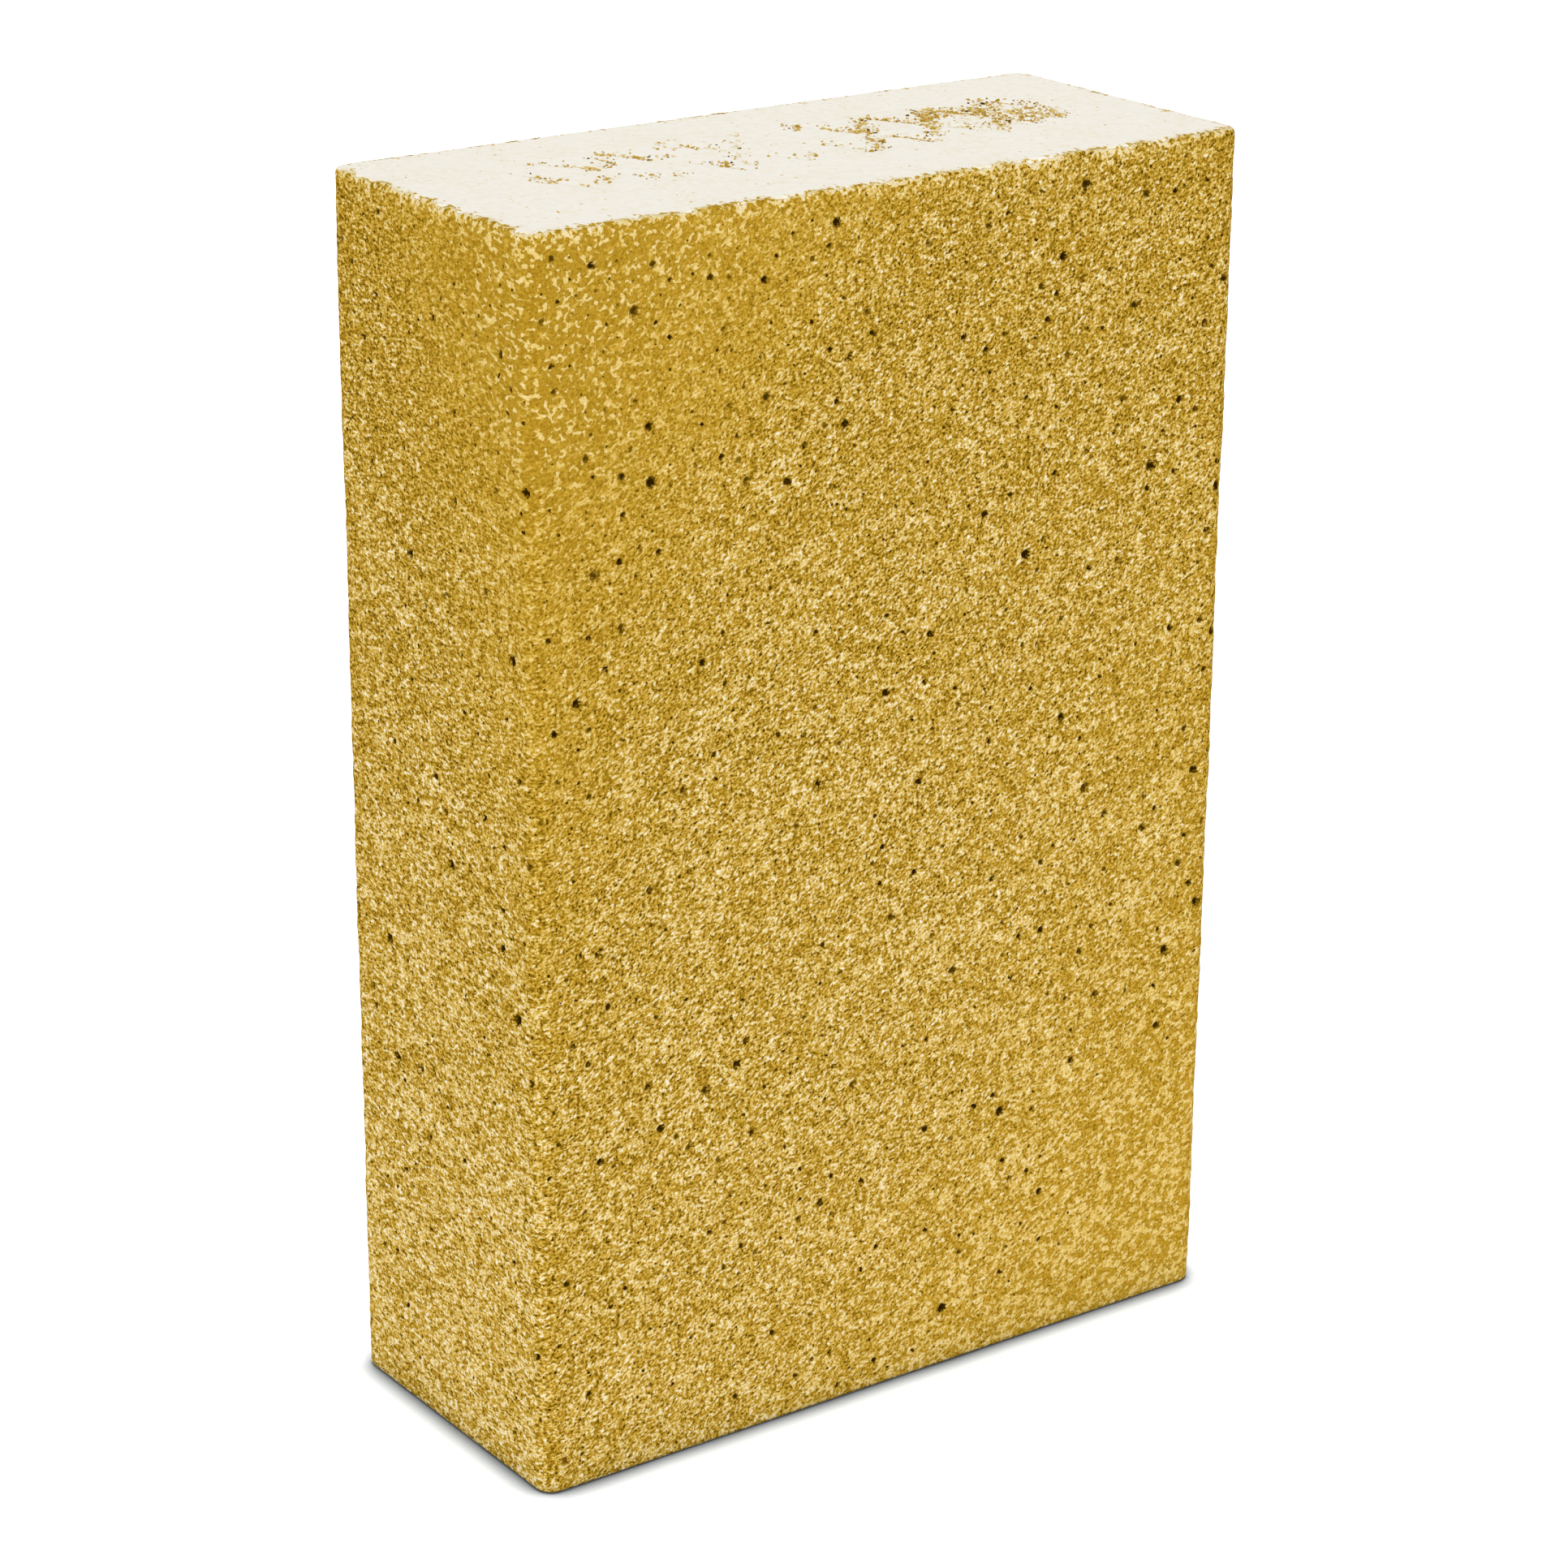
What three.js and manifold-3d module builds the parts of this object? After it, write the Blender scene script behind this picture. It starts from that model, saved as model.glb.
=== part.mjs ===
// A foam brick that stands on one end: a pale foam core, a thin granular
// skin on each of its four long sides, and a plain pressed mark in the top end.
// Millimetres, +Z up, origin at the middle of the base. +X runs along the wide
// sides and +Y through the brick's thickness, from the front to the back.
import * as THREE from "three";
import { mergeVertices } from "three/addons/utils/BufferGeometryUtils.js";
import Module from "manifold-3d";

// The block
const brickHeight = 230;
const brickWidth = 152;
const brickThickness = 64;
const edgeRadius = 3.5; // outer radius of the four upright edges
const endRound = 1; // rounding of the core's end faces into its sides

// The skins
const skinThickness = 0.8;
const skinSetback = 1.2; // the skins stop this far below the top end
const bondGap = 0.3; // glue line between a skin and the core
const seamGap = 0.4; // between two skins, at the middle of an upright edge

// The pressed mark: a chain of plain lozenges
const lozengeLength = 14; // tip to tip along X, on the middle of the stroke
const lozengeBreadth = 24; // tip to tip along Y, on the middle of the stroke
const strokeWidth = 2.4; // width of the groove that the die leaves
const grooveDepth = 1.2;
const markThickness = 0.6; // the layer of crushed cells in the groove
const markClearance = 0.3; // between that layer and the groove
const markBorder = 19; // the least plain foam past each end of the chain
const markShiftX = 3.5; // the mark's middle, from the middle of the end
const markShiftY = 2;

const arcSteps = 6; // straight steps in each eighth of a turn
const smallestRadius = 0.2;
const lozengeCount = Math.floor((brickWidth - 2 * markBorder) / lozengeLength);

const wasm = await Module();
wasm.setup();

// Closed geometry to a solid for cutting, and back again.
function toSolid(geometry) {
  const bare = geometry.clone();
  bare.deleteAttribute("normal");
  bare.deleteAttribute("uv");
  const merged = mergeVertices(bare, 1e-4);
  return new wasm.Manifold(
    new wasm.Mesh({
      numProp: 3,
      vertProperties: new Float32Array(merged.attributes.position.array),
      triVerts: new Uint32Array(merged.index.array),
    }),
  );
}

function toGeometry(solid) {
  const { vertProperties, triVerts } = solid.getMesh();
  const geometry = new THREE.BufferGeometry();
  geometry.setAttribute("position", new THREE.BufferAttribute(vertProperties, 3));
  geometry.setIndex(new THREE.BufferAttribute(triVerts, 1));
  geometry.computeVertexNormals();
  return geometry;
}

// A rectangle with rounded corners, centred on the origin.
function roundedRectangle(width, depth, radius) {
  const x = width / 2 - radius;
  const y = depth / 2 - radius;
  const shape = new THREE.Shape();
  shape.absarc(x, y, radius, 0, Math.PI / 2);
  shape.absarc(-x, y, radius, Math.PI / 2, Math.PI);
  shape.absarc(-x, -y, radius, Math.PI, 1.5 * Math.PI);
  shape.absarc(x, -y, radius, 1.5 * Math.PI, 2 * Math.PI);
  return shape;
}

// The pale core, standing on the ground, with its end faces rounded into its sides.
function coreBlock() {
  const inset = skinThickness + bondGap;
  const radius = Math.max(edgeRadius - inset, endRound + smallestRadius);
  const outline = roundedRectangle(brickWidth - 2 * inset, brickThickness - 2 * inset, radius);
  const block = new THREE.ExtrudeGeometry(outline, {
    depth: brickHeight - 2 * endRound,
    bevelThickness: endRound,
    bevelSize: endRound,
    bevelOffset: -endRound,
    bevelSegments: 4,
    curveSegments: 2 * arcSteps,
  });
  return block.translate(0, 0, endRound);
}

// One skin as seen from above: a strip whose outer face lies at y = -reach, with its
// two ends turned round the upright edges as far as the seams.
function skinGeometry(length, reach) {
  const innerRadius = Math.max(edgeRadius - skinThickness, smallestRadius);
  const centreX = length / 2 - edgeRadius;
  const centreY = edgeRadius - reach;
  const turn = Math.PI / 4 - seamGap / (innerRadius + edgeRadius);
  const down = 1.5 * Math.PI;
  const strip = new THREE.Shape();
  strip.absarc(-centreX, centreY, edgeRadius, down - turn, down);
  strip.absarc(centreX, centreY, edgeRadius, down, down + turn);
  strip.absarc(centreX, centreY, innerRadius, down + turn, down, true);
  strip.absarc(-centreX, centreY, innerRadius, down, down - turn, true);
  return new THREE.ExtrudeGeometry(strip, {
    depth: brickHeight - skinSetback,
    bevelEnabled: false,
    curveSegments: arcSteps,
  });
}

// A lozenge that lies `grow` outside the middle of the stroke (inside it if negative).
function lozenge(Outline, centreX, grow) {
  const a = lozengeLength / 2;
  const b = lozengeBreadth / 2;
  const scale = 1 + (grow * Math.hypot(a, b)) / (a * b);
  return new Outline([
    new THREE.Vector2(centreX - a * scale, 0),
    new THREE.Vector2(centreX, -b * scale),
    new THREE.Vector2(centreX + a * scale, 0),
    new THREE.Vector2(centreX, b * scale),
  ]);
}

// The chain of lozenges, joined where their tips meet, from `bottom` up by `height`.
function lozengeChain(stroke, bottom, height) {
  let chain = null;
  for (let i = 0; i < lozengeCount; i++) {
    const x = (i - (lozengeCount - 1) / 2) * lozengeLength;
    const outline = lozenge(THREE.Shape, x, stroke / 2);
    outline.holes.push(lozenge(THREE.Path, x, -stroke / 2));
    const ring = toSolid(
      new THREE.ExtrudeGeometry(outline, { depth: height, bevelEnabled: false }),
    );
    chain = chain ? chain.add(ring) : ring;
  }
  return chain.translate(markShiftX, markShiftY, bottom);
}

const foamMaterial = new THREE.MeshStandardMaterial({
  color: 0xf1ecdf,
  roughness: 0.9,
  metalness: 0,
});
const skinMaterial = new THREE.MeshStandardMaterial({
  color: 0xbe9a42,
  roughness: 0.85,
  metalness: 0,
});
const markMaterial = new THREE.MeshStandardMaterial({
  color: 0x765a14,
  roughness: 0.9,
  metalness: 0,
});

const brick = new THREE.Group();

function addPiece(name, geometry, material) {
  const mesh = new THREE.Mesh(geometry, material.clone());
  mesh.name = name;
  brick.add(mesh);
  return mesh;
}

// The core, with the groove of the pressed mark cut into its top end
const groove = lozengeChain(strokeWidth, brickHeight - grooveDepth, 2 * grooveDepth);
addPiece("foam_core", toGeometry(toSolid(coreBlock()).subtract(groove)), foamMaterial);

// One skin on each long side, turned to its place
const sides = [
  { name: "skin_front", length: brickWidth, reach: brickThickness / 2, turn: 0 },
  { name: "skin_right", length: brickThickness, reach: brickWidth / 2, turn: 1 },
  { name: "skin_back", length: brickWidth, reach: brickThickness / 2, turn: 2 },
  { name: "skin_left", length: brickThickness, reach: brickWidth / 2, turn: 3 },
];
for (const { name, length, reach, turn } of sides) {
  const skin = addPiece(name, skinGeometry(length, reach), skinMaterial);
  skin.rotation.z = (turn * Math.PI) / 2;
}

// The crushed cells that line the floor of the groove
const markBottom = brickHeight - grooveDepth + markClearance;
const mark = lozengeChain(strokeWidth - 2 * markClearance, markBottom, markThickness);
addPiece("pressed_mark", toGeometry(mark), markMaterial);

export default brick;
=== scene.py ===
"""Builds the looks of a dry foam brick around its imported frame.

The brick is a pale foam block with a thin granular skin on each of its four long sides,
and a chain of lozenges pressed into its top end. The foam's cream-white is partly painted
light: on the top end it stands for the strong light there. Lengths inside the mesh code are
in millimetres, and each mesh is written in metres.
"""

import math

import bpy
import numpy as np
from bpy.props import FloatProperty, FloatVectorProperty, IntProperty, PointerProperty
from mathutils import Matrix, Vector


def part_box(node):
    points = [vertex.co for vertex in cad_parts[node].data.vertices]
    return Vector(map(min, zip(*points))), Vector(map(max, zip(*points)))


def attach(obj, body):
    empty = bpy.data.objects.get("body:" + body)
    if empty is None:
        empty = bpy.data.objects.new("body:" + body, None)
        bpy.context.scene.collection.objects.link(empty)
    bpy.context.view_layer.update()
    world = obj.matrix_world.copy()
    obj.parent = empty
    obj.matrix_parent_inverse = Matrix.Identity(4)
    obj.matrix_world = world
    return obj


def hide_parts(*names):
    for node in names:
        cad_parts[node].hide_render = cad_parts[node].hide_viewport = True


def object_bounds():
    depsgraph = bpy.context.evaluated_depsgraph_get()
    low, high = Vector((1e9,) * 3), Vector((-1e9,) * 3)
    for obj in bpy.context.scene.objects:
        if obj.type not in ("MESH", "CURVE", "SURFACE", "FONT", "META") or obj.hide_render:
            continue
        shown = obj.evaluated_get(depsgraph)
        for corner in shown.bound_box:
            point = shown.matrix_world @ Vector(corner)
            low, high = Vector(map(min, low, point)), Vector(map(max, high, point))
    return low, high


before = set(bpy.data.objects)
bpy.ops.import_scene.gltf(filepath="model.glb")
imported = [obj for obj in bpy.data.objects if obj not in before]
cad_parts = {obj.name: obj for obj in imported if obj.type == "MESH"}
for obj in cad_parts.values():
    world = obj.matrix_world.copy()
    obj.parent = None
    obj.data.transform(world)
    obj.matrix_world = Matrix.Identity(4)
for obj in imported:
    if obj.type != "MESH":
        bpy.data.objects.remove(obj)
cad_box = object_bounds()

bl_info = {
    "name": "Dry Foam Brick",
    "version": (1, 0, 0),
    "blender": (4, 5, 0),
    "location": "3D View > Sidebar > Foam Brick",
    "description": "Builds a dry foam brick with granular skins and a pressed mark",
    "category": "Add Mesh",
}

MM = 0.001
SIDES = ("front", "right", "back", "left")
WIDTH = (cad_box[1].x - cad_box[0].x) / MM
THICKNESS = (cad_box[1].y - cad_box[0].y) / MM
HEIGHT = (cad_box[1].z - cad_box[0].z) / MM
MARK_BOX = [np.array(corner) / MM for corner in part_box("pressed_mark")]
EDGE_RADIUS = 3.5  # the four upright edges
QUARTER = math.pi / 2
THIN = 0.06  # a skin's thickness at its torn rims
SKIN_STEP = 0.66  # between a skin's points, along the side
SKIN_RISE = 0.78  # between a skin's points, up the side
END_STEP = 0.74  # between the points of the foam's ends
CREST = 2.4  # the strip under a torn rim, with finer points
PORE_GAP = 2.4  # the least skin between two pores
PORE_REACH = 1.2  # how far round a pore its points know of it
NO_PORE = 6.0  # a place outside every pore, in radii
BOND = 0.03  # between a skin and the foam under it
REFLECTANCE = 0.95  # the stage lights a surface a little past what it reflects


def from_srgb(red, green, blue):
    """A screen colour from 0 to 255 as the linear colour that Blender works with."""
    return tuple(
        (c / 255 / 12.92) if c <= 10 else ((c / 255 + 0.055) / 1.055) ** 2.4
        for c in (red, green, blue)
    )


def colour_setting(name, description, screen):
    return FloatVectorProperty(
        name=name,
        description=description,
        default=from_srgb(*screen),
        min=0,
        max=1,
        subtype="COLOR",
    )


def length_setting(name, description, millimetres):
    return FloatProperty(
        name=name,
        description=description,
        default=millimetres * MM,
        min=0,
        subtype="DISTANCE",
        unit="LENGTH",
        precision=5,
    )


class BrickSizes(bpy.types.PropertyGroup):
    """What shapes the brick's pieces."""

    end_round: length_setting("End rounding", "Radius between an end and the sides", 1.0)
    skin: length_setting("Skin", "Thickness of the granular skins", 1.0)
    rim_lift: length_setting("Rim", "How far the skins' torn rims climb the top edge", 1.05)
    rim_tear: length_setting("Rim tear", "How far the torn rims wander", 0.85)
    swell: length_setting("Swell", "Height of the long, low waves in a skin", 0.12)
    grain: length_setting("Grain", "Height of the single grains in a skin", 0.09)
    pore: length_setting("Pore", "Radius of a middling pore", 0.23)
    groove: length_setting("Groove", "Depth of the pressed mark", 0.35)
    crumb: length_setting("Crumb", "Half the size of a middling crumb in the mark", 0.17)
    lozenge: length_setting("Lozenge", "Length of one lozenge of the mark", 14.0)
    stroke: length_setting("Stroke", "Width of the mark's lines", 2.4)
    pores: FloatProperty(
        name="Pores", description="Pores in each square centimetre", default=5.4, min=0
    )
    crumbs: IntProperty(
        name="Crumbs", description="Crumbs that line the mark", default=1200, min=1
    )
    seed: IntProperty(name="Seed", description="Changes where grains and pores fall", default=4)


class BrickColours(bpy.types.PropertyGroup):
    """The grain's colours from its deepest pores to its palest flakes, and the foam's."""

    # The pit and umber colours paint the shade deep inside the pores
    pit: colour_setting("Pit", "Bottom of the deepest pores", (33, 19, 1))
    umber: colour_setting("Umber", "Inside of a pore", (74, 53, 8))
    bronze: colour_setting("Bronze", "Shaded grains", (121, 91, 16))
    gold: colour_setting("Gold", "The skin's body", (166, 127, 28))
    straw: colour_setting("Straw", "Lit grains", (201, 161, 54))
    sand: colour_setting("Sand", "Flakes", (227, 198, 118))
    ivory: colour_setting("Ivory", "The palest flakes", (242, 230, 194))
    # The foam colour is partly painted light: on the top end its cream-white stands for the strong
    # light there
    foam: colour_setting("Foam", "The bare foam", (247, 243, 233))


class BrickStage(bpy.types.PropertyGroup):
    """The light, and the camera's place."""

    key: FloatProperty(name="Key", description="Strength of the key light", default=1.38, min=0)
    sky: FloatProperty(name="Sky", description="Light from all round", default=0.6, min=0)
    turn: FloatProperty(
        name="Turn",
        description="Which way the camera faces, from +Y towards +X",
        default=math.radians(35.616),
        subtype="ANGLE",
    )
    tilt: FloatProperty(
        name="Tilt",
        description="How far the camera looks down",
        default=math.radians(20.3),
        subtype="ANGLE",
    )
    roll: FloatProperty(
        name="Roll",
        description="How far the camera leans to one side",
        default=math.radians(0.351),
        subtype="ANGLE",
    )
    place: FloatVectorProperty(
        name="Place",
        description="Where the camera is",
        default=(-0.43635, -0.60682, 0.38699),
        subtype="TRANSLATION",
        unit="LENGTH",
    )
    lens: FloatProperty(
        name="Lens", description="Focal length on a 36 mm sensor", default=98.76, min=1
    )


# Noise for the shapes


def corner_value(x, y, z, seed):
    """A repeatable value from -1 to 1 at each corner of a lattice."""
    mixed = (x * 374761393 + y * 668265263 + z * 2147483647 + seed * 974126177) & 0xFFFFFFFF
    mixed = ((mixed ^ (mixed >> 13)) * 1274126177) & 0xFFFFFFFF
    return (mixed ^ (mixed >> 16)) / 0x7FFFFFFF - 1


def soft_noise(points, cell, seed):
    """Smooth noise from -1 to 1 that changes over about one cell."""
    scaled = points / cell
    corner = np.floor(scaled).astype(np.int64)
    part = scaled - corner
    eased = part**3 * (part * (part * 6 - 15) + 10)
    total = np.zeros(len(points))
    for step in np.ndindex(2, 2, 2):
        weight = np.prod(np.where(np.array(step), eased, 1 - eased), axis=1)
        x, y, z = (corner + np.array(step)).T
        total += weight * corner_value(x, y, z, seed)
    return total


def layered_noise(points, cell, layers, seed):
    """Noise with finer and weaker layers on top."""
    total = np.zeros(len(points))
    for layer in range(layers):
        total += soft_noise(points, cell / 2**layer, seed + 17 * layer) / 2**layer
    return total


def ease(value, low, high):
    """0 up to low, 1 from high, and smooth between."""
    part = np.clip((value - low) / (high - low), 0, 1)
    return part * part * (3 - 2 * part)


# The brick's outer form


class Form:
    """The brick's outer surface, and how thick its skins are at each place."""

    def __init__(self, sizes):
        self.round = sizes.end_round / MM
        self.skin = sizes.skin / MM
        self.lift = sizes.rim_lift / MM
        self.tear = sizes.rim_tear / MM
        self.seed = sizes.seed
        self.straight = HEIGHT - 2 * self.round
        self.low_rim = -0.8 * QUARTER * self.round

    def profile(self, climb):
        """Inset, height and lean of the surface at a distance climbed from the foot of the
        straight part. A negative climb goes under, and past the top it goes inwards."""
        radius = self.round
        low = np.clip(climb / radius, -QUARTER, 0)
        high = np.clip((climb - self.straight) / radius, 0, QUARTER)
        past = np.maximum(climb - self.straight - QUARTER * radius, 0)
        inset = radius * (2 - np.cos(low) - np.cos(high)) + past
        height = radius * (1 + np.sin(low) + np.sin(high)) + np.clip(climb, 0, self.straight)
        return inset, height, low + high

    def high_rim(self, outline, facing):
        """How far the skins climb at points of the outline."""
        flat = np.column_stack([outline, np.zeros(len(outline))])
        wander = 0.5 * soft_noise(flat, 12.0, self.seed + 300)
        wander += layered_noise(flat, 2.6, 2, self.seed + 301)
        shown = -(facing @ np.array([0.6, 0.8]))
        return self.straight + self.lift * (1 + 0.2 * shown) + self.tear * wander

    def skin_depth(self, climb, high_rim):
        """The skin's thickness, which thins out towards both rims."""
        top = ease(high_rim - climb, 0, 2.2)
        bottom = ease(climb - self.low_rim, 0, 1.4)
        return THIN + (self.skin - THIN) * np.minimum(top, bottom)

    def core_depth(self, climb, high_rim):
        """How far the core's surface lies under the outer form."""
        bare = np.maximum(ease(climb - high_rim, 0, 0.4), ease(self.low_rim - climb, 0, 0.4))
        return (self.skin_depth(climb, high_rim) + BOND) * (1 - bare)


def turned(points, quarter_turns):
    """Points turned about the upright axis."""
    out = points.copy()
    for _ in range(quarter_turns):
        out[:, 0], out[:, 1] = -out[:, 1].copy(), out[:, 0].copy()
    return out


def grid_faces(columns, rows, start=0):
    """Quads of a grid of points stored column by column, facing right x up."""
    column, row = np.meshgrid(np.arange(columns - 1), np.arange(rows - 1), indexing="ij")
    first = (start + column * rows + row).ravel()
    return np.column_stack([first, first + rows, first + rows + 1, first + 1])


def built_mesh(name, points, polygons, maps, smooth=None):
    """A mesh object from points in millimetres, polygons as lists of corners, and a pair of
    map coordinates for every corner."""
    mesh = bpy.data.meshes.new(name)
    counts = np.array([len(polygon) for polygon in polygons])
    corners = np.concatenate([np.asarray(polygon) for polygon in polygons])
    mesh.vertices.add(len(points))
    mesh.vertices.foreach_set("co", (points * MM).astype(np.float32).ravel())
    mesh.loops.add(len(corners))
    mesh.loops.foreach_set("vertex_index", corners.astype(np.int32))
    mesh.polygons.add(len(counts))
    starts = np.concatenate([[0], np.cumsum(counts)[:-1]])
    mesh.polygons.foreach_set("loop_start", starts.astype(np.int32))
    if smooth is None:
        smooth = np.ones(len(counts), dtype=bool)
    mesh.polygons.foreach_set("use_smooth", smooth)
    mesh.update(calc_edges=True)
    layout = mesh.uv_layers.new(name="OFBake")
    layout.uv.foreach_set("vector", maps.astype(np.float32).ravel())
    piece = bpy.data.objects.new(name, mesh)
    bpy.context.scene.collection.objects.link(piece)
    return piece


def bordered(share):
    """A share of a map's width, with a border left at both sides."""
    return 0.01 + 0.98 * share


def note_points(piece, name, kind, values):
    """Keeps a value for each point, for the material to read."""
    field = "vector" if kind == "FLOAT_VECTOR" else "value"
    noted = piece.data.attributes.new(name, kind, "POINT")
    noted.data.foreach_set(field, np.asarray(values, dtype=np.float32).ravel())


def sharpen(piece, on_seam):
    """Marks the edges between points that are on a seam as sharp."""
    ends = np.empty(2 * len(piece.data.edges), dtype=np.int32)
    piece.data.edges.foreach_get("vertices", ends)
    ends = ends.reshape(-1, 2)
    sharp = on_seam[ends[:, 0]] & on_seam[ends[:, 1]]
    piece.data.attributes.new("sharp_edge", "BOOLEAN", "EDGE").data.foreach_set("value", sharp)


# The skins


def scattered_pores(rng, length, form, sizes, share, spares_corners):
    """Pores on one side as rows of place along, climb, radius and darkness, clear of each
    other and of the rims. They crowd together in some places and miss others, and may spare
    two corners: the low one at the far end and the high one at the near end."""
    square_centimetres = length * HEIGHT / 100
    wanted = int(sizes.pores * share * square_centimetres)
    tries_for_each = 12
    found = np.zeros((0, 4))
    for _ in range(wanted * tries_for_each):
        if len(found) >= wanted:
            break
        along = rng.uniform(-length / 2 + 2, length / 2 - 2)
        climb = rng.uniform(1.5, form.straight - 3.5)
        crowd = 0.55 + 0.9 * soft_noise(np.array([[along, climb, 0.0]]), 21.0, sizes.seed + 5)[0]
        spared = 0.0
        if spares_corners:
            spared = ease(along, 5, 60) * ease(-climb, -130, -40)
            spared = max(spared, ease(-along, 10, 50) * ease(climb, 120, 190))
        radius = sizes.pore / MM * math.exp(0.66 * rng.standard_normal())
        # A pore's darkness is painted shade in its hollow
        dark = min(1.0, 0.3 + 0.65 * rng.random() + 0.35 * radius)
        if rng.random() > crowd * (1 - 0.75 * spared):
            continue
        radius = min(max(radius, 0.16), 1.0)
        gaps = np.hypot(found[:, 0] - along, found[:, 1] - climb) - found[:, 2] - radius
        if len(gaps) and gaps.min() < PORE_GAP:
            continue
        found = np.vstack([found, [along, climb, radius, dark]])
    return found


def open_pores(columns, rows, pores):
    """For each point of the sheet: where it lies in the nearest pore, in radii, how dark
    that pore is, and how far the surface sinks there. The third part of the place grows
    away from the pore, so that nothing shows between one pore's points and the next's."""
    shape = (len(columns), len(rows))
    offset = np.full(shape + (3,), NO_PORE)
    dark = np.zeros(shape)
    sink = np.zeros(shape)
    nearest = np.full(shape, 1e9)
    for along, climb, radius, darkness in pores:
        span = radius + PORE_REACH
        c0, c1 = np.searchsorted(columns, [along - span, along + span])
        r0, r1 = np.searchsorted(rows, [climb - span, climb + span])
        part = np.s_[c0:c1, r0:r1]
        across = (columns[c0:c1, None] - along) / radius + 0 * rows[None, r0:r1]
        up = (rows[None, r0:r1] - climb) / radius + 0 * columns[c0:c1, None]
        away = np.hypot(across, up)
        closer = (away - 1) * radius < nearest[part]
        nearest[part] = np.where(closer, (away - 1) * radius, nearest[part])
        guard = 12 * np.maximum((away - 1) * radius - 0.55, 0)
        offset[part][closer] = np.dstack([across, up, guard])[closer]
        dark[part][closer] = darkness
        depth = min(1.3 * radius, 0.75)
        sink[part] = np.maximum(sink[part], depth * (1 - ease(away, 0.35, 1.3)))
    return offset, dark, sink


def flake_cover(name, along, up, length):
    """How much paler a side is than the others, at shares of its length and height."""
    past_low = (along + 0.5) * length
    past_high = (0.5 - along) * length
    # Painted shade: darker within about 4.5 mm of each upright edge, where the rounded edges catch
    # more light
    edge_shade = -0.9 * (1 - ease(np.minimum(past_low, past_high), 1.5, 4.5))
    # The terms in up make each side paler lower down: painted light bounced from the floor
    if name.endswith("front"):
        lean = -(0.2 + 0.6 * up) * (1 - ease(past_low, 4, 34))
        lean = lean - 0.45 * (1 - ease(past_high, 4, 40)) * up
    elif name.endswith("left"):
        lean = 0.95 - 1.4 * up + 0.4 * (1 - ease(past_high, 3, 14)) * (1 - up)
    else:
        lean = 0.3 - 0.6 * up
    return lean + edge_shade


def shell_faces(columns, rows, back_rows):
    """The faces of a closed shell whose inner sheet's points follow its outer sheet's: the two
    sheets, the strips that join them at the foot and the crest, and the two ends."""
    start = columns * rows
    last = columns - 1
    steps = np.arange(last)
    front = grid_faces(columns, rows)
    back = grid_faces(columns, back_rows, start)[:, ::-1]
    foot = np.column_stack(
        [
            start + steps * back_rows,
            start + (steps + 1) * back_rows,
            (steps + 1) * rows,
            steps * rows,
        ]
    )
    crest = np.column_stack(
        [
            steps * rows + rows - 1,
            (steps + 1) * rows + rows - 1,
            start + (steps + 1) * back_rows + back_rows - 1,
            start + steps * back_rows + back_rows - 1,
        ]
    )
    first_front = np.arange(rows)
    first_back = start + np.arange(back_rows)
    end_low = np.concatenate([first_front[::-1], first_back])
    end_high = np.concatenate([last * rows + first_front, (first_back + last * back_rows)[::-1]])
    return (front, back), (foot, crest), (end_low, end_high)


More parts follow.
